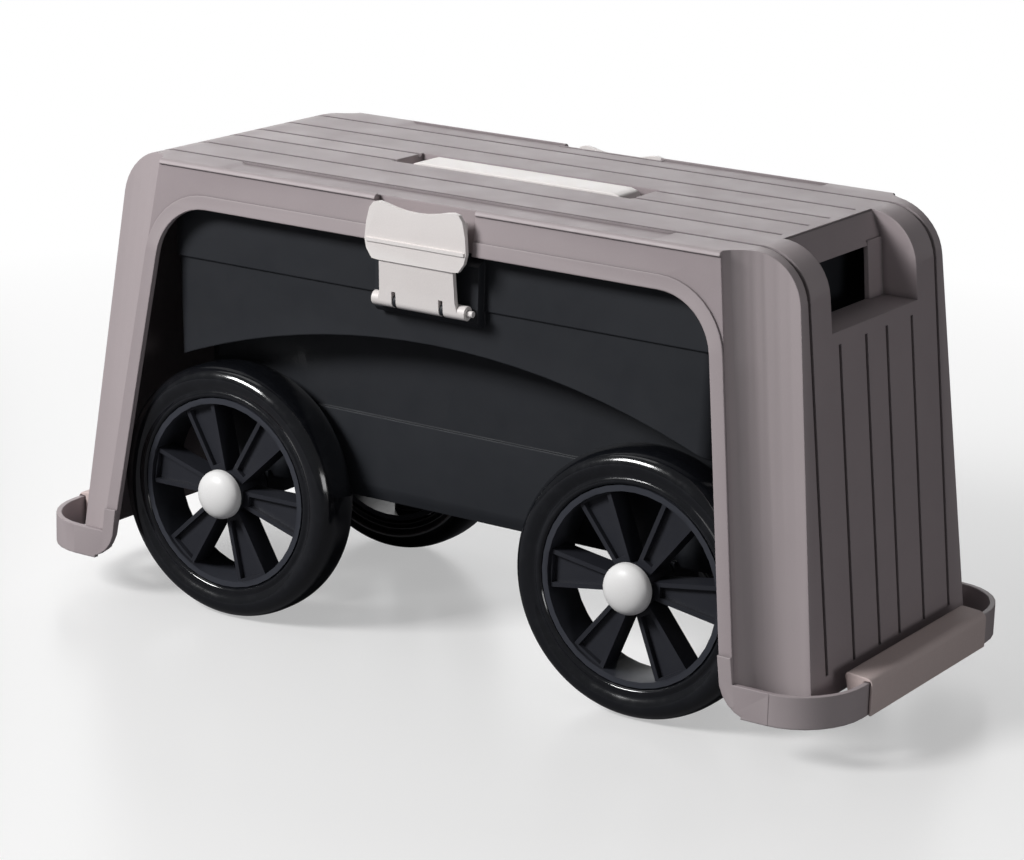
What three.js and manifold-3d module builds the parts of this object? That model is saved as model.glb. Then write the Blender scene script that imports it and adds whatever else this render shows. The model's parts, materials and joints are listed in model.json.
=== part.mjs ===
import * as THREE from 'three';
import { mergeVertices } from 'three/addons/utils/BufferGeometryUtils.js';
import Module from 'manifold-3d';

const wasm = await Module();
wasm.setup();

// All sizes in millimetres. X runs along the length, -Y is the front, Z is up.

// Seat shell
const DECK_Z = 300;
const END_X = 247.5;
const END_DRAFT = 0.115;
const FACE_Y = 112;
const FACE_DRAFT = 0.07;
const CORNER_Y = 91;
const CORNER_DRAFT = 0.045;
const END_RADIUS = 34;
const SHELL_WALL = 4;
const CORE_INSET = 1.3;
const LEG_BOTTOM_Z = 34;

// Arched opening in the front and back faces
const OPEN_X = 201;
const OPEN_TOP_Z = 272;
const OPEN_DRAFT = 0.131;
const OPEN_RADIUS = 38;
const STRIP = 9;

// Deck grooves
const GROOVES_Y = [-82, -47, -13.5, 13.5, 47, 82];
const GROOVE_WIDTH = 3.4;
const GROOVE_DEPTH = 2.2;

// Foot loops and grips
const LOOP_X = 302.5;
const LOOP_Y = 130.5;
const LOOP_BOTTOM_Z = 28;
const LOOP_TOP_Z = 48;
const LOOP_WALL = 3.5;
const GRIP_HALF = 78;
const GRIP_OUT_X = 304.8;

// Hand-hold through the right-hand corner
const HOLD_HALF = 56;
const HOLD_X = 218;
const HOLD_Z = 248;

// Carry handle
const STRAP_HALF_X = 74;
const STRAP_HALF_Y = 12;
const STRAP_TOP_Z = 300.6;
const STRAP_THICK = 4;
const TRAY_HALF_X = 90;
const TRAY_HALF_Y = 17.5;
const TRAY_FLOOR_Z = 286;

// Tub
const TUB_X = 206.5;
const TUB_Y = 101;
const TUB_LOW_Y = 71;
const TUB_BELLY_Y = 73.2;
const TUB_BAND_Z = 236;
const TUB_BELLY_Z = 146;
const TUB_FLOOR_Z = 90;
const TUB_TOP_Z = 295.7;
const TUB_WALL = 3;
const ARCH_APEX_Z = 208;
const ARCH_RADIUS = 530;

// Latches
const LATCH_PANEL_HALF = 38.5;
const LATCH_PANEL_Y = 107.5;
const PIN_Y = 112.5;
const LATCH_FRONT_Y = 121;
const POCKET_HALF = 37;
const POCKET_Y = 106;
const PIN_Z = 236;
const PIN_R = 2;
const KNUCKLE_R = 4.6;
const LUG_X = 17.5;
const TAB_HALF = 37.5;
const BODY_HALF = 27;

// Wheels
const WHEEL_X = 155;
const WHEEL_Y = 93.5;
const WHEEL_R = 85;
const WHEEL_W = 36;
const TYRE_IN_R = 63.6;
const AXLE_R = 4;
const HUB_R = 14.5;
const HUB_FACE = 20;
const SPOKES = 6;
const GAP = 0.3;

const material = (hex, roughness, metalness = 0) => {
  return new THREE.MeshStandardMaterial({ color: hex, roughness, metalness });
};
const MAUVE = material(0x9d9396, 0.6);
const GRIP_GREY = material(0xafa09e, 0.7);
const CREAM = material(0xdcd4d2, 0.45);
const CHARCOAL = material(0x23262a, 0.6);
const RIM_BLACK = material(0x1a1b1f, 0.5);
const TYRE_BLACK = material(0x0c0c0e, 0.2);
const STEEL = material(0xb4b6b8, 0.35, 1);

const group = new THREE.Group();

function signedVolume(geometry) {
  const p = geometry.getAttribute('position');
  const index = geometry.getIndex().array;
  const a = new THREE.Vector3();
  const b = new THREE.Vector3();
  const c = new THREE.Vector3();
  let total = 0;
  for (let i = 0; i < index.length; i += 3) {
    a.fromBufferAttribute(p, index[i]);
    b.fromBufferAttribute(p, index[i + 1]);
    c.fromBufferAttribute(p, index[i + 2]);
    total += a.dot(b.cross(c)) / 6;
  }
  return total;
}

function solid(geometry) {
  const bare = geometry.clone();
  bare.deleteAttribute('normal');
  bare.deleteAttribute('uv');
  const merged = mergeVertices(bare, 1e-4);
  const tris = Uint32Array.from(merged.getIndex().array);
  if (signedVolume(merged) < 0) {
    for (let i = 0; i < tris.length; i += 3) {
      const swap = tris[i];
      tris[i] = tris[i + 1];
      tris[i + 1] = swap;
    }
  }
  const mesh = new wasm.Mesh({
    numProp: 3,
    vertProperties: Float32Array.from(merged.getAttribute('position').array),
    triVerts: tris,
  });
  return new wasm.Manifold(mesh);
}

function add(name, body, look) {
  const mesh = body.getMesh();
  const geometry = new THREE.BufferGeometry();
  geometry.setAttribute('position', new THREE.BufferAttribute(mesh.vertProperties, 3));
  geometry.setIndex(new THREE.BufferAttribute(mesh.triVerts, 1));
  const node = new THREE.Mesh(geometry, look);
  node.name = name;
  group.add(node);
}

const union = (list) => list.reduce((all, one) => all.add(one));
const shapeOf = (points) => new THREE.Shape(points.map(([a, b]) => new THREE.Vector2(a, b)));

function box(x0, x1, y0, y1, z0, z1) {
  const geometry = new THREE.BoxGeometry(x1 - x0, y1 - y0, z1 - z0);
  geometry.translate((x0 + x1) / 2, (y0 + y1) / 2, (z0 + z1) / 2);
  return solid(geometry);
}

// points are [x, z]
function prismY(points, y0, y1) {
  const geometry = new THREE.ExtrudeGeometry(shapeOf(points), { depth: y1 - y0, bevelEnabled: false });
  geometry.rotateX(Math.PI / 2);
  geometry.translate(0, y1, 0);
  return solid(geometry);
}

// points are [y, z]
function prismX(points, x0, x1) {
  const geometry = new THREE.ExtrudeGeometry(shapeOf(points), { depth: x1 - x0, bevelEnabled: false });
  const turn = new THREE.Matrix4().makeBasis(
    new THREE.Vector3(0, 1, 0),
    new THREE.Vector3(0, 0, 1),
    new THREE.Vector3(1, 0, 0),
  );
  geometry.applyMatrix4(turn);
  geometry.translate(x0, 0, 0);
  return solid(geometry);
}

// points are [x, y]
function prismZ(points, z0, z1) {
  const geometry = new THREE.ExtrudeGeometry(shapeOf(points), { depth: z1 - z0, bevelEnabled: false });
  geometry.translate(0, 0, z0);
  return solid(geometry);
}

// a ring or disc about the Y axis; profile is a closed list of [radius, y]
function latheY(profile, segments = 48) {
  const points = profile.map(([r, y]) => new THREE.Vector2(r, y));
  if (profile[0][0] > 0) {
    points.push(points[0].clone());
  }
  return solid(new THREE.LatheGeometry(points, segments));
}

function rodY(radius, y0, y1, segments = 24) {
  return latheY([[0, y0], [radius, y0], [radius, y1], [0, y1]], segments);
}

function rodX(radius, x0, x1, y, z, segments = 20) {
  const geometry = new THREE.CylinderGeometry(radius, radius, x1 - x0, segments);
  geometry.rotateZ(Math.PI / 2);
  geometry.translate((x0 + x1) / 2, y, z);
  return solid(geometry);
}

// a body between two outlines of equal length at two heights
function loftZ(lower, z0, upper, z1) {
  const n = lower.length;
  const positions = [];
  lower.forEach(([x, y]) => positions.push(x, y, z0));
  upper.forEach(([x, y]) => positions.push(x, y, z1));
  const contour = lower.map(([x, y]) => new THREE.Vector2(x, y));
  const index = [];
  for (const [a, b, c] of THREE.ShapeUtils.triangulateShape(contour, [])) {
    index.push(a, c, b);
    index.push(a + n, b + n, c + n);
  }
  const flip = THREE.ShapeUtils.isClockWise(contour);
  for (let i = 0; i < n; i += 1) {
    const j = (i + 1) % n;
    index.push(i, j, j + n, i, j + n, i + n);
  }
  const geometry = new THREE.BufferGeometry();
  geometry.setAttribute('position', new THREE.BufferAttribute(new Float32Array(positions), 3));
  if (flip) {
    const caps = (n - 2) * 6;
    for (let i = caps; i < index.length; i += 3) {
      const swap = index[i];
      index[i] = index[i + 1];
      index[i + 1] = swap;
    }
  }
  geometry.setIndex(index);
  return solid(geometry);
}

const endX = (z) => END_X + END_DRAFT * (DECK_Z - z);
const faceY = (z) => FACE_Y + FACE_DRAFT * (DECK_Z - z);
const cornerY = (z) => CORNER_Y + CORNER_DRAFT * (DECK_Z - z);
const openX = (z) => OPEN_X + OPEN_DRAFT * (OPEN_TOP_Z - z);
const mirrorX = (points) => points.map(([x, z]) => [-x, z]).reverse();

function arc(cx, cz, radius, from, to, steps) {
  const points = [];
  for (let i = 0; i <= steps; i += 1) {
    const t = THREE.MathUtils.degToRad(from + ((to - from) * i) / steps);
    points.push([cx + radius * Math.cos(t), cz + radius * Math.sin(t)]);
  }
  return points;
}

// right half of the side view: wall, rounded corner, deck; mirrored to close it
function sideProfile(inset, radius, bottomZ, steps) {
  const slant = Math.hypot(1, END_DRAFT);
  const reach = END_X + END_DRAFT * DECK_Z - inset * slant;
  const cz = DECK_Z - inset - radius;
  const cx = reach - radius * slant - END_DRAFT * cz;
  const wallAngle = THREE.MathUtils.radToDeg(Math.atan(END_DRAFT));
  const right = [[reach - END_DRAFT * bottomZ, bottomZ], ...arc(cx, cz, radius, wallAngle, 90, steps)];
  return [...right, ...mirrorX(right)];
}

// cross view: two leaning faces with a small edge break along the deck
function crossProfile(inset, edge, bottomZ) {
  const top = DECK_Z - inset;
  const yTop = FACE_Y - inset;
  const yBottom = faceY(bottomZ) - inset;
  return [
    [-yBottom, bottomZ],
    [yBottom, bottomZ],
    [yTop + FACE_DRAFT * edge, top - edge],
    [yTop - edge * 0.3, top - edge * 0.3],
    [yTop - edge, top],
    [-yTop + edge, top],
    [-yTop + edge * 0.3, top - edge * 0.3],
    [-yTop - FACE_DRAFT * edge, top - edge],
  ];
}

// outline of the scooped corner beside each leg, cut away at one height
function covePoints(sx, sy, z, grow) {
  const xe = endX(z);
  const yf = faceY(z);
  const xs = openX(z) + STRIP;
  const a = xe - xs + grow;
  const b = yf - cornerY(z) + grow;
  const points = [];
  for (let i = 0; i <= 8; i += 1) {
    const t = (i / 8) * Math.PI * 0.5;
    points.push([sx * (xe - a * Math.cos(t)), sy * (yf - b * Math.sin(t))]);
  }
  points.push([sx * (xe + 40), sy * (yf - b)]);
  points.push([sx * (xe + 40), sy * (yf + 30)]);
  points.push([sx * (xe - a), sy * (yf + 30)]);
  return points;
}

function coves(grow) {
  const list = [];
  for (const sx of [-1, 1]) {
    for (const sy of [-1, 1]) {
      const low = covePoints(sx, sy, 0, grow);
      const high = covePoints(sx, sy, 320, grow);
      list.push(loftZ(low, 0, high, 320));
    }
  }
  return union(list);
}

// the arched opening seen from the front, grown outwards for the raised strip
function archPoints(grow, bottomZ, flare) {
  const top = OPEN_TOP_Z + grow;
  const radius = OPEN_RADIUS + grow;
  const slant = Math.hypot(1, OPEN_DRAFT);
  const reach = OPEN_X + OPEN_DRAFT * OPEN_TOP_Z + grow * slant;
  const cz = top - radius;
  const cx = reach - radius * slant - OPEN_DRAFT * cz;
  const wallAngle = THREE.MathUtils.radToDeg(Math.atan(OPEN_DRAFT));
  const corner = arc(cx, cz, radius, wallAngle, 90, 10);
  let foot = [[reach - OPEN_DRAFT * bottomZ, bottomZ]];
  if (flare) {
    const turnZ = LOOP_BOTTOM_Z + 24;
    const turnX = reach - OPEN_DRAFT * turnZ;
    const bend = arc(turnX + 24, turnZ, 24, 270, 180, 6);
    foot = [[turnX + 24, bottomZ], ...bend];
  }
  const right = [...foot, ...corner];
  return [...right, ...mirrorX(right)];
}

function makeShell() {
  const outerSide = prismY(sideProfile(0, END_RADIUS, LEG_BOTTOM_Z, 10), -150, 150);
  const face = outerSide.intersect(prismX(crossProfile(0, 3, LEG_BOTTOM_Z), -320, 320));
  const stripRing = prismY(archPoints(STRIP, 20, false), -150, 150);
  const recessFront = prismX([[-160, 0], [-faceY(0) + CORE_INSET, 0], [-faceY(297) + CORE_INSET, 297],
    [-faceY(297) + CORE_INSET, 297.01], [-160, 297.01]], -320, 320);
  const recessBack = recessFront.mirror([0, 1, 0]);
  const beamFace = recessFront.add(recessBack).subtract(stripRing);
  let body = face.subtract(beamFace).subtract(coves(0));

  const innerSide = prismY(sideProfile(SHELL_WALL, 43, -10, 8), -150, 150);
  const inner = innerSide.intersect(prismX(crossProfile(SHELL_WALL, 0.5, -10), -320, 320));
  body = body.subtract(inner.subtract(coves(SHELL_WALL - 0.6)));
  return body;
}

function groovesAlong(half, deep) {
  const outline = prismY(sideProfile(-4, END_RADIUS + 4, 20, 10), -150, 150);
  const floor = prismY(sideProfile(deep, END_RADIUS - deep, 10, 10), -160, 160);
  const skin = outline.subtract(floor);
  const bars = GROOVES_Y.map((y) => box(-340, 340, y - half, y + half, 48, 320));
  return skin.intersect(union(bars));
}

// deeper crescent at a rounded end, where each groove turns down
function crescent(sx, y, depth, half) {
  const geometry = new THREE.BoxGeometry(60, half * 2, 40);
  geometry.translate(0, 0, 20);
  geometry.rotateY(THREE.MathUtils.degToRad(41));
  const slant = Math.hypot(1, END_DRAFT);
  const cz = DECK_Z - END_RADIUS;
  const cx = END_X + END_DRAFT * DECK_Z - END_RADIUS * slant - END_DRAFT * cz;
  const lean = THREE.MathUtils.degToRad(41);
  const r = END_RADIUS - depth;
  geometry.translate(cx + r * Math.sin(lean), y, cz + r * Math.cos(lean));
  if (sx < 0) {
    geometry.scale(-1, 1, 1);
  }
  return solid(geometry);
}

let shell = makeShell();

// rim bands along the deck edges
for (const sy of [-1, 1]) {
  const ramp = [[-166, 302], [-158, DECK_Z - 1.3], [158, DECK_Z - 1.3], [166, 302]];
  const y0 = sy < 0 ? -108 : 84.2;
  shell = shell.subtract(prismY(ramp, y0, y0 + 23.8));
}

// handle tray
const trayOut = box(-TRAY_HALF_X - 3, TRAY_HALF_X + 3, -TRAY_HALF_Y - 3, TRAY_HALF_Y + 3, TRAY_FLOOR_Z - 3, DECK_Z - 1);
shell = shell.add(trayOut);

// latch pockets
for (const sy of [-1, 1]) {
  const y0 = sy < 0 ? -FACE_Y + 1.5 : POCKET_Y - 2.4;
  const y1 = sy < 0 ? -POCKET_Y + 2.4 : FACE_Y - 1.5;
  shell = shell.add(box(-POCKET_HALF - 3, POCKET_HALF + 3, y0, y1, 268, DECK_Z - 1));
  const cut0 = sy < 0 ? -130 : POCKET_Y;
  const cut1 = sy < 0 ? -POCKET_Y : 130;
  shell = shell.subtract(box(-POCKET_HALF, POCKET_HALF, cut0, cut1, 200, 320));
}

// hand-hold: slanted inner wall, side walls, ledge and corner gussets
const holdSide = prismY(sideProfile(0.6, END_RADIUS, 20, 10), -150, 150);
const holdCheek = holdSide.intersect(box(HOLD_X - 3, 290, -HOLD_HALF - 3, HOLD_HALF + 3, HOLD_Z - 4, DECK_Z - 0.5));
const slantBlock = prismY([[HOLD_X - 3, DECK_Z - 1], [HOLD_X + 1, DECK_Z - 1], [HOLD_X + 8, 281], [HOLD_X + 5, 280]],
  -HOLD_HALF - 2, HOLD_HALF + 2);
const cheekClear = prismY(sideProfile(26, END_RADIUS - 10, 20, 10), -150, 150);
const cheeks = holdCheek.subtract(cheekClear)
  .subtract(box(150, 320, -HOLD_HALF, HOLD_HALF, HOLD_Z, 320));
const gussetOutline = [[HOLD_X + 5, 284], [HOLD_X + 8, 284], [HOLD_X + 12, HOLD_Z - 3.5], [HOLD_X + 8.5, HOLD_Z - 3.5]];
const gussetBack = prismY(gussetOutline, HOLD_HALF - 18, HOLD_HALF + 2);
const gussetFront = gussetBack.mirror([0, 1, 0]);
shell = shell.subtract(box(HOLD_X, 320, -HOLD_HALF, HOLD_HALF, HOLD_Z, 320));
shell = shell.add(slantBlock).add(cheeks).add(gussetBack).add(gussetFront);

// grooves and crescents
const holdClear = box(HOLD_X - 6, 320, -HOLD_HALF - 6, HOLD_HALF + 6, HOLD_Z - 8, 320);
shell = shell.subtract(groovesAlong(GROOVE_WIDTH / 2, GROOVE_DEPTH).subtract(holdClear));
for (const y of GROOVES_Y) {
  shell = shell.subtract(crescent(-1, y, 7.5, GROOVE_WIDTH / 2 + 0.3));
  if (Math.abs(y) > HOLD_HALF + 6) {
    shell = shell.subtract(crescent(1, y, 7.5, GROOVE_WIDTH / 2 + 0.3));
  }
}

// tray hollow and slots for the handle's ends
shell = shell.subtract(box(-TRAY_HALF_X, TRAY_HALF_X, -TRAY_HALF_Y, TRAY_HALF_Y, TRAY_FLOOR_Z, 320));
for (const sx of [-1, 1]) {
  const x = sx * (STRAP_HALF_X + 6.5);
  shell = shell.subtract(box(x - 4, x + 4, -STRAP_HALF_Y - 0.6, STRAP_HALF_Y + 0.6, 270, 300));
}

// opening through both faces, then the feet
shell = shell.subtract(prismY(archPoints(0, 10, true), -160, 160));

function loopOutline(sx, shrink) {
  const xo = LOOP_X - shrink;
  const yo = LOOP_Y - shrink;
  const start = 246;
  const a = 40 - shrink;
  const b = 46 - shrink;
  const points = [[start, -yo]];
  for (let i = 0; i <= 8; i += 1) {
    const t = (i / 8) * Math.PI * 0.5;
    points.push([xo - a + a * Math.sin(t), -yo + b - b * Math.cos(t)]);
  }
  const back = points.map(([x, y]) => [x, -y]).reverse();
  return [...points, ...back].map(([x, y]) => [sx * x, y]);
}

for (const sx of [-1, 1]) {
  const outerLoop = prismZ(loopOutline(sx, 0), LOOP_BOTTOM_Z, LOOP_TOP_Z);
  const innerLoop = prismZ(loopOutline(sx, LOOP_WALL), 0, 100);
  const bars = outerLoop.subtract(innerLoop);
  shell = shell.add(bars);
  for (const sy of [-1, 1]) {
    const inner = openX(LOOP_BOTTOM_Z + 24);
    const bend = arc(inner + 24, LOOP_BOTTOM_Z + 24, 24, 180, 270, 6);
    const plate = [...bend, [inner + 34, LOOP_BOTTOM_Z], [inner + 34, LOOP_TOP_Z],
      [openX(LOOP_TOP_Z) + STRIP, LOOP_TOP_Z], [openX(64) + STRIP, 64], [openX(64), 64]];
    const outline = plate.map(([x, z]) => [sx * x, z]);
    const y0 = sy < 0 ? -LOOP_Y : LOOP_Y - LOOP_WALL;
    shell = shell.add(prismY(outline, y0, y0 + LOOP_WALL));
  }
}
add('seat_shell', shell, MAUVE);

// Grips: saddles pressed down over the loops
function grip(sx) {
  const slot0 = LOOP_X - LOOP_WALL - GAP;
  const slot1 = LOOP_X + GAP;
  const profile = [
    [GRIP_OUT_X, LOOP_BOTTOM_Z - 0.5],
    [GRIP_OUT_X, LOOP_TOP_Z - 2],
    [GRIP_OUT_X - 0.8, LOOP_TOP_Z + 0.6],
    [GRIP_OUT_X - 2.6, LOOP_TOP_Z + 2.2],
    [GRIP_OUT_X - 5, LOOP_TOP_Z + 2.8],
    [GRIP_OUT_X - 17, LOOP_TOP_Z + 3.8],
    [GRIP_OUT_X - 18.4, LOOP_TOP_Z + 3],
    [GRIP_OUT_X - 18.8, LOOP_TOP_Z + 1.4],
    [GRIP_OUT_X - 15, LOOP_BOTTOM_Z + 6],
    [GRIP_OUT_X - 12, LOOP_BOTTOM_Z - 0.5],
    [slot0, LOOP_BOTTOM_Z - 0.5],
    [slot0, LOOP_TOP_Z + GAP],
    [slot1, LOOP_TOP_Z + GAP],
    [slot1, LOOP_BOTTOM_Z - 0.5],
  ];
  return prismY(profile.map(([x, z]) => [sx * x, z]), -GRIP_HALF, GRIP_HALF);
}
add('grip_left', grip(-1), GRIP_GREY);
add('grip_right', grip(1), GRIP_GREY);

// Carry handle: a flat bar over the tray with legs through the slots and stops below
const barLow = STRAP_TOP_Z - STRAP_THICK;
const legIn = STRAP_HALF_X + 3;
const legOut = STRAP_HALF_X + 9.5;
const restZ = TRAY_FLOOR_Z + GAP;
const handleSide = [
  [-legOut, 281], [-legIn, 281], [-legIn, restZ], [-legIn + 5, restZ], [-STRAP_HALF_X + 8, barLow],
  [STRAP_HALF_X - 8, barLow], [legIn - 5, restZ], [legIn, restZ], [legIn, 281], [legOut, 281],
  [legOut, 290.5], [STRAP_HALF_X + 4, STRAP_TOP_Z - 1.6], [STRAP_HALF_X - 1, STRAP_TOP_Z],
  [-STRAP_HALF_X + 1, STRAP_TOP_Z], [-STRAP_HALF_X - 4, STRAP_TOP_Z - 1.6], [-legOut, 290.5],
];
let handle = prismY(handleSide, -STRAP_HALF_Y, STRAP_HALF_Y);
for (const sx of [-1, 1]) {
  const x = sx * (STRAP_HALF_X + 6.25);
  handle = handle.add(box(x - 8, x + 8, -STRAP_HALF_Y, STRAP_HALF_Y, 270.5, 273.5));
  handle = handle.add(box(x - 3.25, x + 3.25, -STRAP_HALF_Y, STRAP_HALF_Y, 273, 282));
}
add('carry_handle', handle, CREAM);

// Tub
function underArch(radius, y0, y1) {
  const cz = ARCH_APEX_Z - ARCH_RADIUS;
  const half = THREE.MathUtils.radToDeg(Math.asin(240 / radius));
  const curve = arc(0, cz, radius, 90 - half, 90 + half, 24);
  return prismY([[240, 60], ...curve, [-240, 60]], y0, y1);
}

function tubOutline(halfX, halfY, round) {
  const corner = (sx, sy, from) => arc(sx * (halfX - round), sy * (halfY - round), round, from, from + 90, 4);
  return [...corner(1, 1, 0), ...corner(-1, 1, 90), ...corner(-1, -1, 180), ...corner(1, -1, 270)];
}

const band = prismZ(tubOutline(TUB_X, TUB_Y, 12), TUB_BAND_Z, TUB_TOP_Z);
const upper = loftZ(tubOutline(199, TUB_Y - 1.5, 12), 120, tubOutline(TUB_X - 1.5, TUB_Y - 1.5, 12), TUB_BAND_Z + 1);
const waist = loftZ(tubOutline(197, TUB_LOW_Y, 12), TUB_FLOOR_Z + 4, tubOutline(201, TUB_LOW_Y, 12), 215);
const belly = loftZ(tubOutline(194, TUB_BELLY_Y - 3, 10), TUB_FLOOR_Z, tubOutline(198, TUB_BELLY_Y, 12), TUB_FLOOR_Z + 10)
  .add(loftZ(tubOutline(198, TUB_BELLY_Y, 12), TUB_FLOOR_Z + 10, tubOutline(199.5, TUB_BELLY_Y, 12), TUB_BELLY_Z));
const wells = union([-1, 1].map((sy) => {
  const a = sy < 0 ? -120 : 60;
  return underArch(ARCH_RADIUS, a, a + 60);
}));
let tub = band.add(upper.subtract(wells)).add(waist).add(belly);

for (const sy of [-1, 1]) {
  const face = LATCH_PANEL_Y;
  const outline = [
    [sy * (TUB_Y - 4), 226], [sy * (face - 3), 226], [sy * face, 229], [sy * face, 264],
    [sy * (face - 7), 270], [sy * (TUB_Y - 4), 270],
  ];
  tub = tub.add(prismX(outline, -LATCH_PANEL_HALF, LATCH_PANEL_HALF));
  for (const x of [-LUG_X, LUG_X]) {
    const lug = rodX(4.2, x - 1.2, x + 1.2, sy * PIN_Y, PIN_Z);
    const y0 = sy < 0 ? -PIN_Y : face - 1;
    const y1 = sy < 0 ? -face + 1 : PIN_Y;
    tub = tub.add(lug).add(box(x - 1.2, x + 1.2, y0, y1, PIN_Z - 4.2, PIN_Z + 4.2));
  }
}

const roomLow = loftZ(tubOutline(191, TUB_LOW_Y - TUB_WALL, 9), TUB_FLOOR_Z + 3.5,
  tubOutline(197.5, TUB_LOW_Y - TUB_WALL, 9), 230);
const roomHigh = loftZ(tubOutline(195, TUB_Y - 1.5 - TUB_WALL, 9), 120,
  tubOutline(TUB_X - 1.5 - TUB_WALL, TUB_Y - 1.5 - TUB_WALL, 9), TUB_BAND_Z + 1);
const roomBand = prismZ(tubOutline(TUB_X - TUB_WALL, TUB_Y - TUB_WALL, 9), TUB_BAND_Z, 320);
const shelf = union([-1, 1].map((sy) => {
  const a = sy < 0 ? -120 : TUB_LOW_Y - TUB_WALL - 0.5;
  return underArch(ARCH_RADIUS + 3.5, a, a + 120 - TUB_LOW_Y + TUB_WALL + 0.5);
}));
tub = tub.subtract(roomLow.add(roomHigh.subtract(shelf)).add(roomBand));

for (const sx of [-1, 1]) {
  for (const sy of [-1, 1]) {
    const x = sx * WHEEL_X;
    const y0 = sy < 0 ? -TUB_BELLY_Y - 1 : 44;
    const y1 = sy < 0 ? -44 : TUB_BELLY_Y + 1;
    tub = tub.add(box(x - 10, x + 10, y0, y1, WHEEL_R - 9, TUB_FLOOR_Z + 4));
  }
  tub = tub.subtract(rodY(AXLE_R + GAP, -90, 90).translate([sx * WHEEL_X, 0, WHEEL_R]));
}
for (const sy of [-1, 1]) {
  tub = tub.subtract(rodX(PIN_R + GAP, -30, 30, sy * PIN_Y, PIN_Z, 16));
}
add('tub', tub, CHARCOAL);

// Latches and pins, built for the front and mirrored for the back
function latch() {
  const outline = [
    [BODY_HALF, 262], [BODY_HALF + 5, 262.5], [TAB_HALF - 1.5, 268], [TAB_HALF, 274],
    [TAB_HALF - 1, 285], [TAB_HALF - 3.2, 294], [TAB_HALF - 6, 297.6], [TAB_HALF - 10, 298.6],
    [TAB_HALF - 15, 297.9], [TAB_HALF - 22, 296.2], [TAB_HALF - 30, 295], [0, 294.7],
  ];
  const tabOutline = [...outline, ...mirrorX(outline).slice(1)];
  const tab = prismY(tabOutline, -LATCH_FRONT_Y, -LATCH_FRONT_Y + 3.1);
  const leaf = prismX([
    [-LATCH_FRONT_Y, 276], [-PIN_Y - KNUCKLE_R, PIN_Z], [-PIN_Y - 1, PIN_Z], [-LATCH_FRONT_Y + 3.1, 276],
  ], -BODY_HALF - 3, BODY_HALF + 3);
  const bodyOutline = [[BODY_HALF + 2.5, 236], [BODY_HALF + 1, 242], [BODY_HALF, 276], [-BODY_HALF, 276],
    [-BODY_HALF - 1, 242], [-BODY_HALF - 2.5, 236]];
  let body = tab.add(leaf.intersect(prismY(bodyOutline, -130, -100)));
  body = body.add(box(-TAB_HALF + 1.2, TAB_HALF - 1.2, -LATCH_FRONT_Y - 1, -LATCH_FRONT_Y + 2, 273, 275.2));
  for (const sx of [-1, 1]) {
    const x = sx * (TAB_HALF - 6);
    body = body.add(box(x - 1, x + 1, -LATCH_FRONT_Y + 2, -POCKET_Y - 6, 268, 292));
  }
  body = body.add(box(-20, 20, -LATCH_FRONT_Y + 2, -POCKET_Y - 1.2, 283, 286));
  body = body.add(rodX(KNUCKLE_R, -34.5, 34.5, -PIN_Y, PIN_Z));
  for (const x of [-LUG_X, LUG_X]) {
    body = body.subtract(box(x - 1.6, x + 1.6, -125, -104, 228, 242.5));
  }
  return body.subtract(rodX(PIN_R + GAP, -40, 40, -PIN_Y, PIN_Z, 16));
}
const pin = rodX(PIN_R, -35.5, 38.5, -PIN_Y, PIN_Z, 16);
add('latch_front', latch(), CREAM);
add('latch_back', latch().mirror([0, 1, 0]), CREAM);
add('latch_pin_front', pin, CREAM);
add('latch_pin_back', pin.mirror([0, 1, 0]), CREAM);

// Axles and wheels; each wheel is built about the Y axis with its outer side at -Y
for (const [side, sx] of [['left', -1], ['right', 1]]) {
  const axle = rodY(AXLE_R, -WHEEL_Y - HUB_FACE - 4, WHEEL_Y + HUB_FACE + 4);
  add(`axle_${side}`, axle.translate([sx * WHEEL_X, 0, WHEEL_R]), STEEL);
}

function tyre() {
  const w = WHEEL_W / 2;
  const r = WHEEL_R;
  return latheY([
    [TYRE_IN_R, -w + 3], [TYRE_IN_R + 3, -w + 0.6],
    [r - 11, -w], [r - 6, -w + 1.2], [r - 2.4, -w + 4.2], [r - 0.4, -w + 9], [r, -w + 15],
    [r, w - 15], [r - 0.4, w - 9], [r - 2.4, w - 4.2], [r - 6, w - 1.2], [r - 11, w],
    [TYRE_IN_R + 3, w - 0.6], [TYRE_IN_R, w - 3],
  ], 40);
}

function spoke() {
  const outline = [[11, -5], [61, -12.6], [61, 12.6], [11, 5]];
  const panel = [[19, -3.4], [57.5, -9.2], [57.5, 9.2], [19, 3.4]];
  return prismY(outline, -13, 4).subtract(prismY(panel, -20, -9.5)).subtract(prismY(panel, 1, 10));
}

function rim(turn) {
  const ring = latheY([[59.6, -15.5], [TYRE_IN_R - GAP, -15.5], [TYRE_IN_R - GAP, 15.5], [59.6, 15.5]], 40);
  const hub = latheY([[AXLE_R + GAP, -HUB_FACE], [HUB_R - 2, -HUB_FACE], [HUB_R, -13], [HUB_R, 6], [11, 8], [11, 17], [AXLE_R + GAP, 17]], 24);
  const arms = [];
  for (let i = 0; i < SPOKES; i += 1) {
    arms.push(spoke().rotate([0, -(turn + (i * 360) / SPOKES), 0]));
  }
  const bore = rodY(AXLE_R + GAP, -30, 30);
  return ring.add(hub).add(union(arms)).subtract(bore);
}

function hubCap() {
  const h = HUB_FACE;
  return latheY([
    [0, -h - 8.4], [5, -h - 8], [9.5, -h - 6.8], [13, -h - 4.8], [15.4, -h - 2.2], [16.3, -h + 0.8], [16.3, -h + 2.5],
    [13.9, -h + 2.5], [13.9, -h - GAP], [9.5, -h - GAP], [9.5, -h - 5.8], [0, -h - 5.8],
  ], 28);
}

function washer() {
  return latheY([[AXLE_R + GAP, 17.3], [9, 17.3], [9, 18.5], [AXLE_R + GAP, 18.5]], 24);
}

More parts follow.
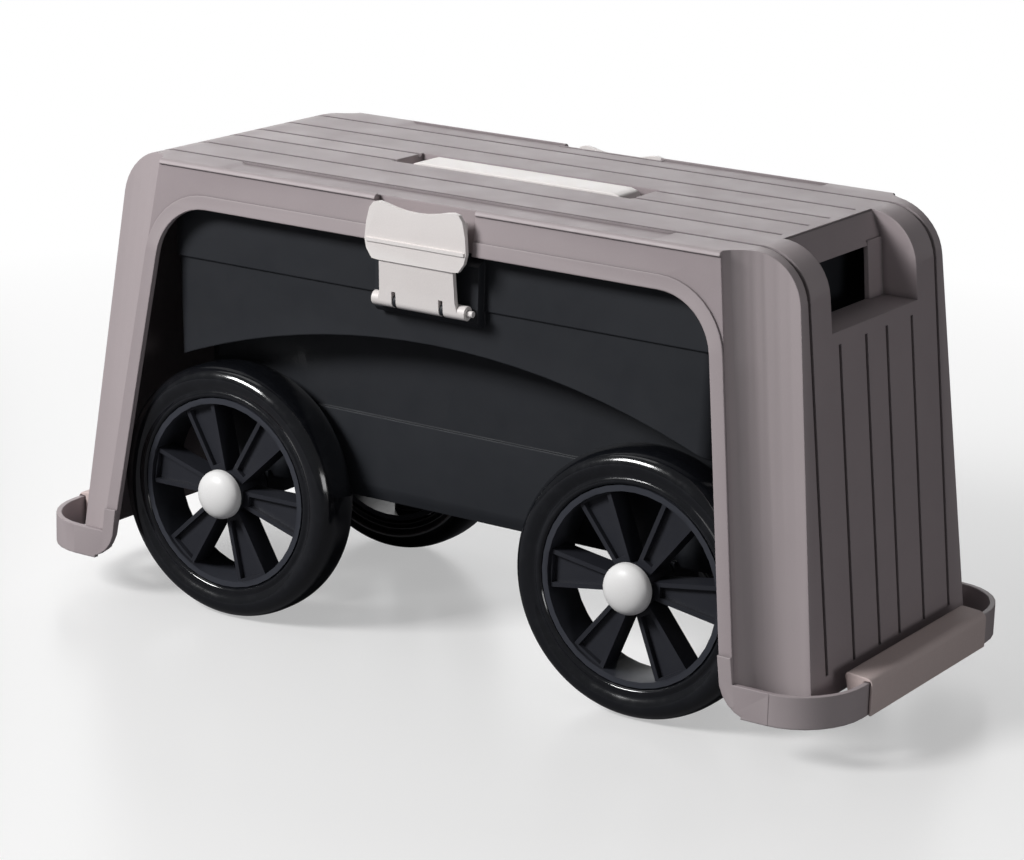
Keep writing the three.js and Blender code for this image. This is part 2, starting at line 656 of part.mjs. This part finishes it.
function pushNut() {
  const h = HUB_FACE;
  return latheY([[AXLE_R + GAP, -h - 2], [8, -h - 2], [8, -h - GAP], [AXLE_R + GAP, -h - GAP]], 24);
}

const corners = [
  ['front_left', -1, -1, -8], ['front_right', 1, -1, 0], ['back_left', -1, 1, 20], ['back_right', 1, 1, 35],
];
for (const [name, sx, sy, turn] of corners) {
  const place = (body) => {
    const turned = sy > 0 ? body.rotate([0, 0, 180]) : body;
    return turned.translate([sx * WHEEL_X, sy * WHEEL_Y, WHEEL_R]);
  };
  add(`wheel_rim_${name}`, place(rim(turn)), RIM_BLACK);
  add(`tyre_${name}`, place(tyre()), TYRE_BLACK);
  add(`hub_cap_${name}`, place(hubCap()), CREAM);
  add(`axle_washer_${name}`, place(washer()), STEEL);
  add(`push_nut_${name}`, place(pushNut()), STEEL);
}

export default group;
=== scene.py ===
import json
import math

import bmesh
import bpy
from mathutils import Matrix, Vector


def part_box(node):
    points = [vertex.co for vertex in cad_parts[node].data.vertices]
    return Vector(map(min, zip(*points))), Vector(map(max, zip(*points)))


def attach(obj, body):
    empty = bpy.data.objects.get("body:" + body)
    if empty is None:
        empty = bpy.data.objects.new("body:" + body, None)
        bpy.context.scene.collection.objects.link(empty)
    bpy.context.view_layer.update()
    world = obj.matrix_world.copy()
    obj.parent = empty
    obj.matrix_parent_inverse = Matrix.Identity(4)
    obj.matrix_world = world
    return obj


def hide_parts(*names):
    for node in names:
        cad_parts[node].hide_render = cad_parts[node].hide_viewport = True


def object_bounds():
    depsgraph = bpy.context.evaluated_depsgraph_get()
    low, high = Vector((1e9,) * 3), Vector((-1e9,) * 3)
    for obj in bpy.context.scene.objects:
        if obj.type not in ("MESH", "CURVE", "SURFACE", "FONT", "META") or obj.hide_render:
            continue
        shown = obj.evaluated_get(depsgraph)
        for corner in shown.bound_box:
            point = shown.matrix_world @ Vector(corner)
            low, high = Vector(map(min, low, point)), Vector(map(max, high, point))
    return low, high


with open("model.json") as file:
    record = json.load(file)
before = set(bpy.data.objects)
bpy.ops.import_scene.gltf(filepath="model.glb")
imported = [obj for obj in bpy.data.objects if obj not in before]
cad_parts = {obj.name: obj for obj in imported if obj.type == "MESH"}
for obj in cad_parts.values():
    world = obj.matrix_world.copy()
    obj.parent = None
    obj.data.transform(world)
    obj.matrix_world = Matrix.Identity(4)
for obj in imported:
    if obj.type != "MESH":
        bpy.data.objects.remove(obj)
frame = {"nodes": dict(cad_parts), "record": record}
cad_low, cad_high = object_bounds()
nodes = frame["nodes"]

MM = 0.001
CORNERS = ("front_left", "front_right", "back_left", "back_right")


# ---------------------------------------------------------------- materials

def linear(shade):
    """A colour as it looks on screen, turned into the shader's linear values."""
    return tuple(((c + 0.055) / 1.055) ** 2.4 if c > 0.04045 else c / 12.92 for c in shade) + (1.0,)


def new_material(name):
    material = bpy.data.materials.new(name)
    material.use_nodes = True
    tree = material.node_tree
    return material, tree, tree.nodes["Principled BSDF"]


def noise_node(tree, scale, detail=3.0, roughness=0.6, stretch=None):
    place = tree.nodes.new("ShaderNodeTexCoord")
    texture = tree.nodes.new("ShaderNodeTexNoise")
    texture.inputs["Scale"].default_value = scale
    texture.inputs["Detail"].default_value = detail
    texture.inputs["Roughness"].default_value = roughness
    if stretch is None:
        tree.links.new(place.outputs["Object"], texture.inputs["Vector"])
        return texture
    mapping = tree.nodes.new("ShaderNodeMapping")
    mapping.inputs["Scale"].default_value = stretch
    tree.links.new(place.outputs["Object"], mapping.inputs["Vector"])
    tree.links.new(mapping.outputs["Vector"], texture.inputs["Vector"])
    return texture


def ranged(tree, source, low, high, to_low, to_high):
    node = tree.nodes.new("ShaderNodeMapRange")
    node.inputs["From Min"].default_value = low
    node.inputs["From Max"].default_value = high
    node.inputs["To Min"].default_value = to_low
    node.inputs["To Max"].default_value = to_high
    tree.links.new(source, node.inputs["Value"])
    return node.outputs["Result"]


def mixed(tree, factor, first, second):
    node = tree.nodes.new("ShaderNodeMix")
    node.data_type = "RGBA"
    node.clamp_factor = True
    tree.links.new(factor, node.inputs["Factor"])
    for socket, value in (("A", first), ("B", second)):
        target = [s for s in node.inputs if s.name == socket and s.type == "RGBA"][0]
        if isinstance(value, tuple):
            target.default_value = value
        else:
            tree.links.new(value, target)
    return [s for s in node.outputs if s.type == "RGBA"][0]


def tinted(shade, factor):
    """The shade's linear colour made lighter or darker, never past white."""
    return tuple(min(1.0, c * factor) for c in linear(shade)[:3]) + (1.0,)


PLASTIC_SPECULAR = 0.4
# How far the painted shade in hollows and grooves reaches.
HOLLOW_SHADE_REACH = 0.006


def moulded_plastic(name, shade, worn, roughness, grain=1500.0, bump=0.00003,
                    rounding=0.0, hollow_shade=0.0):
    """Moulded plastic: fine spark grain, faint flow mottling, paler rubbed edges, uneven gloss, and
    optionally painted shade darkening its hollows and grooves.
    """
    material, tree, shader = new_material(name)
    mottle = noise_node(tree, 14.0, 4.0, 0.55)
    deep = tinted(shade, 0.93)
    base = mixed(tree, ranged(tree, mottle.outputs["Fac"], 0.35, 0.65, 0.0, 1.0), deep, linear(shade))
    fine = noise_node(tree, grain, 2.0, 0.5)
    speck = tinted(shade, 1.06)
    base = mixed(tree, ranged(tree, fine.outputs["Fac"], 0.45, 0.7, 0.0, 0.5), base, speck)
    geometry = tree.nodes.new("ShaderNodeNewGeometry")
    edge = ranged(tree, geometry.outputs["Pointiness"], 0.52, 0.6, 0.0, 0.55)
    base = mixed(tree, edge, base, linear(worn))
    # Painted shade: the colour is darkened where ambient occlusion finds hollows and grooves, standing in
    # for the shade that falls there.
    if hollow_shade > 0.0:
        hollow = tree.nodes.new("ShaderNodeAmbientOcclusion")
        hollow.samples = 8
        hollow.inputs["Distance"].default_value = HOLLOW_SHADE_REACH
        painted_shade = ranged(tree, hollow.outputs["AO"], 0.4, 0.9, hollow_shade, 0.0)
        base = mixed(tree, painted_shade, base, tinted(shade, 0.3))
    tree.links.new(base, shader.inputs["Base Color"])
    gloss = noise_node(tree, 45.0, 3.0, 0.6)
    rough = ranged(tree, gloss.outputs["Fac"], 0.3, 0.7, roughness - 0.05, roughness + 0.07)
    tree.links.new(rough, shader.inputs["Roughness"])
    shader.inputs["Specular IOR Level"].default_value = PLASTIC_SPECULAR
    pits = tree.nodes.new("ShaderNodeBump")
    pits.inputs["Strength"].default_value = 0.35
    pits.inputs["Distance"].default_value = bump
    tree.links.new(fine.outputs["Fac"], pits.inputs["Height"])
    if rounding > 0.0:
        soft_edge = tree.nodes.new("ShaderNodeBevel")
        soft_edge.samples = 6
        soft_edge.inputs["Radius"].default_value = rounding
        tree.links.new(soft_edge.outputs["Normal"], pits.inputs["Normal"])
    tree.links.new(pits.outputs["Normal"], shader.inputs["Normal"])
    return material


def tyre_rubber():
    """Hard glossy black: a faint wavy flow in the gloss and pale scuffs scattered all over."""
    material, tree, shader = new_material("tyre_black")
    scuff = noise_node(tree, 120.0, 5.0, 0.65)
    dust = ranged(tree, scuff.outputs["Fac"], 0.52, 0.75, 0.0, 0.35)
    base = mixed(tree, dust, linear((0.075, 0.08, 0.095)), linear((0.16, 0.165, 0.18)))
    tree.links.new(base, shader.inputs["Base Color"])
    rough = ranged(tree, scuff.outputs["Fac"], 0.35, 0.7, 0.1, 0.2)
    tree.links.new(rough, shader.inputs["Roughness"])
    shader.inputs["Specular IOR Level"].default_value = 0.7
    shader.inputs["Coat Weight"].default_value = 0.5
    shader.inputs["Coat Roughness"].default_value = 0.08
    wave = noise_node(tree, 60.0, 2.0, 0.5)
    ripple = tree.nodes.new("ShaderNodeBump")
    ripple.inputs["Strength"].default_value = 0.2
    ripple.inputs["Distance"].default_value = 0.0003
    tree.links.new(wave.outputs["Fac"], ripple.inputs["Height"])
    tree.links.new(ripple.outputs["Normal"], shader.inputs["Normal"])
    return material


def bright_steel():
    """Plain drawn steel with fine marks along the rod."""
    material, tree, shader = new_material("bright_steel")
    marks = noise_node(tree, 900.0, 3.0, 0.6, (1.0, 0.06, 1.0))
    base = mixed(tree, marks.outputs["Fac"], linear((0.62, 0.63, 0.65)), linear((0.78, 0.79, 0.8)))
    tree.links.new(base, shader.inputs["Base Color"])
    tree.links.new(ranged(tree, marks.outputs["Fac"], 0.3, 0.7, 0.24, 0.42), shader.inputs["Roughness"])
    shader.inputs["Metallic"].default_value = 1.0
    return material


EDGE_ROUNDING = 0.0012
# The seat's grooves and hollows get painted shade from the last argument.
MAUVE = moulded_plastic("seat_mauve", (0.655, 0.61, 0.62), (0.74, 0.7, 0.705), 0.5,
                        rounding=EDGE_ROUNDING, hollow_shade=0.8)
# The grip's pale pinkish grey is made lighter than its own colour, partly painted light standing in for the
# light on its outer face.
GRIP = moulded_plastic("grip_pink_grey", (0.84, 0.77, 0.755), (0.88, 0.82, 0.81), 0.66, 900.0, 0.00005)
CREAM = moulded_plastic("cream_plastic", (0.95, 0.925, 0.915), (0.98, 0.965, 0.955), 0.4, 1800.0, 0.00001)
CAP_WHITE = moulded_plastic("cap_white", (0.985, 0.98, 0.975), (1.0, 0.995, 0.99), 0.35, 1800.0, 0.00001)
CHARCOAL = moulded_plastic("tub_charcoal", (0.145, 0.153, 0.172), (0.2, 0.21, 0.23), 0.55,
                           rounding=EDGE_ROUNDING)
RIM = moulded_plastic("rim_charcoal", (0.17, 0.175, 0.2), (0.27, 0.28, 0.31), 0.42)
TYRE = tyre_rubber()
STEEL = bright_steel()


def dress(piece, material):
    piece.data.materials.clear()
    piece.data.materials.append(material)


# ---------------------------------------------------------------- mesh helpers

def copied(node, name):
    """A copy of a CAD node's mesh as a piece of its own."""
    piece = nodes[node].copy()
    piece.data = nodes[node].data.copy()
    for key in list(piece.keys()):
        del piece[key]
    piece.name = name
    piece.data.name = name
    bpy.context.scene.collection.objects.link(piece)
    return piece


WELD_DISTANCE = 2e-6
CREASE_ANGLE = math.radians(28.0)
BEVEL_ANGLE = math.radians(32.0)
FLAT_ANGLE = math.radians(0.6)


def welded(node, name):
    """A copy of a CAD node, and its mesh with the corners that its faces share joined."""
    piece = copied(node, name)
    mesh = bmesh.new()
    mesh.from_mesh(piece.data)
    bmesh.ops.remove_doubles(mesh, verts=mesh.verts, dist=WELD_DISTANCE)
    return piece, mesh


def soft_faced(node, name):
    """A copy of a CAD node that shades smoothly across its curves and keeps its edges crisp."""
    piece, mesh = welded(node, name)
    for face in mesh.faces:
        face.smooth = True
    for edge in mesh.edges:
        edge.smooth = len(edge.link_faces) == 2 and edge.calc_face_angle() < CREASE_ANGLE
    mesh.to_mesh(piece.data)
    mesh.free()
    soften = piece.modifiers.new("soften", "WEIGHTED_NORMAL")
    soften.keep_sharp = True
    return piece


def moulded_copy(node, name, width, segments=2):
    """A copy of a CAD node with flat faces joined up and every edge rounded as a mould leaves it."""
    piece, mesh = welded(node, name)
    bmesh.ops.dissolve_limit(mesh, angle_limit=FLAT_ANGLE, verts=mesh.verts, edges=mesh.edges,
                             use_dissolve_boundaries=False)
    mesh.to_mesh(piece.data)
    mesh.free()
    rounding = piece.modifiers.new("rounding", "BEVEL")
    rounding.width = width * MM
    rounding.segments = segments
    rounding.limit_method = "ANGLE"
    rounding.angle_limit = BEVEL_ANGLE
    rounding.use_clamp_overlap = True
    rounding.miter_outer = "MITER_ARC"
    soften = piece.modifiers.new("soften", "WEIGHTED_NORMAL")
    soften.keep_sharp = False
    piece.data.shade_smooth()
    return piece


def curve_points(points, steps):
    """A smooth line through the points, with the given number of steps between each pair."""
    line = []
    for i in range(len(points) - 1):
        p0 = Vector(points[max(i - 1, 0)])
        p1 = Vector(points[i])
        p2 = Vector(points[i + 1])
        p3 = Vector(points[min(i + 2, len(points) - 1)])
        for k in range(steps):
            t = k / steps
            line.append(0.5 * (2 * p1 + (p2 - p0) * t + (2 * p0 - 5 * p1 + 4 * p2 - p3) * t * t
                               + (3 * p1 - p0 - 3 * p2 + p3) * t ** 3))
    line.append(Vector(points[-1]))
    return [tuple(spot) for spot in line]


def turned(name, profile, centre, outward, segments, closed):
    """A body turned about the Y axis: profile is [radius, distance outward from centre] in millimetres."""
    mesh = bmesh.new()
    rings = []
    for radius, depth in profile:
        if radius < 1e-6:
            rings.append([mesh.verts.new(centre + Vector((0.0, outward * depth * MM, 0.0)))])
            continue
        ring = []
        for i in range(segments):
            turn = 2 * math.pi * i / segments
            spot = Vector((radius * math.cos(turn), outward * depth, radius * math.sin(turn))) * MM
            ring.append(mesh.verts.new(centre + spot))
        rings.append(ring)
    pairs = list(zip(rings, rings[1:]))
    if closed:
        pairs.append((rings[-1], rings[0]))
    for first, second in pairs:
        for i in range(segments):
            j = (i + 1) % segments
            corners = [first[i % len(first)], first[j % len(first)],
                       second[j % len(second)], second[i % len(second)]]
            mesh.faces.new(list(dict.fromkeys(corners)))
    bmesh.ops.recalc_face_normals(mesh, faces=mesh.faces)
    for face in mesh.faces:
        face.smooth = True
    data = bpy.data.meshes.new(name)
    mesh.to_mesh(data)
    mesh.free()
    piece = bpy.data.objects.new(name, data)
    bpy.context.scene.collection.objects.link(piece)
    return piece


def place(piece, node, material, slot):
    dress(piece, material)
    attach(piece, [b for b, ns in frame["record"]["behaviour"]["bodies"].items() if node in ns][0])
    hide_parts(node)


# ---------------------------------------------------------------- seat, tub, latches, handle

place(soft_faced("seat_shell", "seat_shell_moulding"), "seat_shell", MAUVE, "shell_plastic")
place(moulded_copy("tub", "tub_moulding", 0.9), "tub", CHARCOAL, "tub_plastic")
place(moulded_copy("carry_handle", "carry_strap", 1.2, 3), "carry_handle", CREAM, "cream_plastic")
for side in ("left", "right"):
    place(moulded_copy("grip_" + side, "grip_saddle_" + side, 0.8, 3), "grip_" + side, GRIP, "grip_plastic")
    dress(nodes["axle_" + side], STEEL)
for side in ("front", "back"):
    place(moulded_copy("latch_" + side, "latch_tab_" + side, 0.5), "latch_" + side, CREAM, "cream_plastic")
    dress(nodes["latch_pin_" + side], CREAM)


# ---------------------------------------------------------------- wheels

tyre_low, tyre_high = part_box("tyre_front_right")
TYRE_RADIUS = (tyre_high.x - tyre_low.x) / 2 / MM
TYRE_HALF = (tyre_high.y - tyre_low.y) / 2 / MM
TYRE_SEGMENTS = 128
CAP_SEGMENTS = 64
SEAT_RADIUS = 63.6


def tyre_profile():
    """Rounded tread and shoulders, a flat side, a raised bead lip beside the rim, then the bore."""
    outer = [
        (SEAT_RADIUS + 0.2, TYRE_HALF - 3.2), (SEAT_RADIUS + 1.6, TYRE_HALF - 1.5),
        (SEAT_RADIUS + 3.4, TYRE_HALF - 1.6), (SEAT_RADIUS + 5.4, TYRE_HALF - 2.2),
        (TYRE_RADIUS - 12.5, TYRE_HALF - 0.7), (TYRE_RADIUS - 8.5, TYRE_HALF - 0.1),
        (TYRE_RADIUS - 4.4, TYRE_HALF - 1.9), (TYRE_RADIUS - 1.4, TYRE_HALF - 6.4),
        (TYRE_RADIUS - 0.2, TYRE_HALF - 12.0), (TYRE_RADIUS - 0.02, 0.0),
    ]
    half = curve_points(outer, 4)
    return half + [(r, -y) for r, y in reversed(half[:-1])]


def cap_profile(face):
    """A shallow dome with a short straight rim and a hollow back that fits over the hub."""
    dome = [(0.0, face + 8.4), (4.0, face + 8.15), (8.4, face + 7.2), (12.0, face + 5.6),
            (14.6, face + 3.4), (16.0, face + 0.9), (16.3, face - 2.5)]
    outside = [(max(r, 0.0), y) for r, y in curve_points(dome, 5)]
    hollow = [(13.9, face - 2.5), (13.9, face + 0.3), (9.5, face + 0.3),
              (9.5, face + 5.6), (0.0, face + 5.6)]
    return outside + hollow


HUB_FACE = 20.0
for corner in CORNERS:
    low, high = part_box("tyre_" + corner)
    centre = (low + high) / 2
    outward = -1.0 if "front" in corner else 1.0
    tyre = turned("tyre_ring_" + corner, tyre_profile(), centre, outward, TYRE_SEGMENTS, True)
    place(tyre, "tyre_" + corner, TYRE, "tyre_rubber")
    rim = soft_faced("wheel_rim_" + corner, "spoked_rim_" + corner)
    place(rim, "wheel_rim_" + corner, RIM, "rim_plastic")
    cap = turned("domed_cap_" + corner, cap_profile(HUB_FACE), centre, outward, CAP_SEGMENTS, False)
    place(cap, "hub_cap_" + corner, CAP_WHITE, "cream_plastic")
    dress(nodes["axle_washer_" + corner], STEEL)
    dress(nodes["push_nut_" + corner], STEEL)


# ---------------------------------------------------------------- stage, light, camera

FLOOR_SIZE = 9.0
FLOOR_DROP = 0.0002
FADE_FROM, FADE_TO = 0.35, 1.15


def floor_material():
    """White ground that keeps the object's shadow and fades into the white surroundings further out."""
    material, tree, shader = new_material("pale_floor")
    output = tree.nodes["Material Output"]
    shader.inputs["Base Color"].default_value = (0.93, 0.925, 0.92, 1.0)
    shader.inputs["Roughness"].default_value = 0.3
    shader.inputs["Specular IOR Level"].default_value = 0.3
    white = tree.nodes.new("ShaderNodeEmission")
    white.inputs["Color"].default_value = (1.0, 1.0, 1.0, 1.0)
    spot = tree.nodes.new("ShaderNodeTexCoord")
    reach = tree.nodes.new("ShaderNodeVectorMath")
    reach.operation = "LENGTH"
    tree.links.new(spot.outputs["Object"], reach.inputs[0])
    fade = ranged(tree, reach.outputs["Value"], FADE_FROM, FADE_TO, 0.42, 1.0)
    seen = tree.nodes.new("ShaderNodeMixShader")
    tree.links.new(fade, seen.inputs["Fac"])
    tree.links.new(shader.outputs["BSDF"], seen.inputs[1])
    tree.links.new(white.outputs["Emission"], seen.inputs[2])
    dull = tree.nodes.new("ShaderNodeBsdfDiffuse")
    dull.inputs["Color"].default_value = (0.13, 0.13, 0.14, 1.0)
    path = tree.nodes.new("ShaderNodeLightPath")
    choose = tree.nodes.new("ShaderNodeMixShader")
    tree.links.new(path.outputs["Is Camera Ray"], choose.inputs["Fac"])
    tree.links.new(dull.outputs["BSDF"], choose.inputs[1])
    tree.links.new(seen.outputs["Shader"], choose.inputs[2])
    tree.links.new(choose.outputs["Shader"], output.inputs["Surface"])
    return material


def make_floor():
    grid = bmesh.new()
    bmesh.ops.create_grid(grid, x_segments=1, y_segments=1, size=FLOOR_SIZE)
    mesh = bpy.data.meshes.new("floor")
    grid.to_mesh(mesh)
    grid.free()
    floor = bpy.data.objects.new("floor", mesh)
    bpy.context.scene.collection.objects.link(floor)
    floor.location.z = cad_low.z - FLOOR_DROP
    dress(floor, floor_material())


def make_world():
    world = bpy.data.worlds.new("studio")
    bpy.context.scene.world = world
    world.use_nodes = True
    tree = world.node_tree
    tree.nodes.clear()
    output = tree.nodes.new("ShaderNodeOutputWorld")
    shown = tree.nodes.new("ShaderNodeBackground")
    shown.inputs["Color"].default_value = (1.0, 1.0, 1.0, 1.0)
    shown.inputs["Strength"].default_value = 1.0
    light = tree.nodes.new("ShaderNodeBackground")
    light.inputs["Color"].default_value = (0.97, 0.98, 1.0, 1.0)
    light.inputs["Strength"].default_value = 0.1
    path = tree.nodes.new("ShaderNodeLightPath")
    choose = tree.nodes.new("ShaderNodeMixShader")
    tree.links.new(path.outputs["Is Camera Ray"], choose.inputs["Fac"])
    tree.links.new(light.outputs["Background"], choose.inputs[1])
    tree.links.new(shown.outputs["Background"], choose.inputs[2])
    tree.links.new(choose.outputs["Shader"], output.inputs["Surface"])


def add_softbox(name, spot, aim, size, watts):
    light = bpy.data.lights.new(name, "AREA")
    light.shape = "RECTANGLE"
    light.size, light.size_y = size
    light.energy = watts
    lamp = bpy.data.objects.new(name, light)
    bpy.context.scene.collection.objects.link(lamp)
    lamp.location = spot
    lamp.rotation_mode = "QUATERNION"
    lamp.rotation_quaternion = (Vector(aim) - Vector(spot)).to_track_quat("-Z", "Y")


CAMERA_SPOT = Vector((1.0998, -1.7175, 0.7070))
CAMERA_AZIMUTH = math.radians(32.71)
CAMERA_ELEVATION = math.radians(15.756)
CAMERA_ROLL = math.radians(1.786)
SENSOR_WIDTH_MM = 36.0
LENS_MM = 114.68


def make_camera():
    data = bpy.data.cameras.new("camera")
    data.sensor_width = SENSOR_WIDTH_MM
    data.lens = LENS_MM
    camera = bpy.data.objects.new("camera", data)
    bpy.context.scene.collection.objects.link(camera)
    az, el = CAMERA_AZIMUTH, CAMERA_ELEVATION
    back = Vector((math.sin(az) * math.cos(el), -math.cos(az) * math.cos(el), math.sin(el)))
    right = Vector((math.cos(az), math.sin(az), 0.0))
    up = back.cross(right)
    turned_right = right * math.cos(CAMERA_ROLL) + up * math.sin(CAMERA_ROLL)
    turned_up = up * math.cos(CAMERA_ROLL) - right * math.sin(CAMERA_ROLL)
    axes = Matrix((turned_right, turned_up, back)).transposed()
    camera.matrix_world = Matrix.Translation(CAMERA_SPOT) @ axes.to_4x4()
    bpy.context.scene.camera = camera


make_floor()
make_world()
add_softbox("key", (-1.2, -2.0, 1.7), (0.0, 0.0, 0.12), (0.9, 0.7), 68.0)
add_softbox("top", (-0.9, 0.2, 2.1), (0.0, 0.0, 0.2), (1.6, 1.3), 5.0)
add_softbox("rear", (-1.3, 2.1, 1.0), (0.0, 0.0, 0.15), (1.6, 1.2), 13.0)
add_softbox("side", (1.7, -0.5, 0.35), (0.25, 0.0, 0.1), (0.7, 0.4), 3.2)
make_camera()

bpy.context.scene.view_settings.view_transform = "Standard"
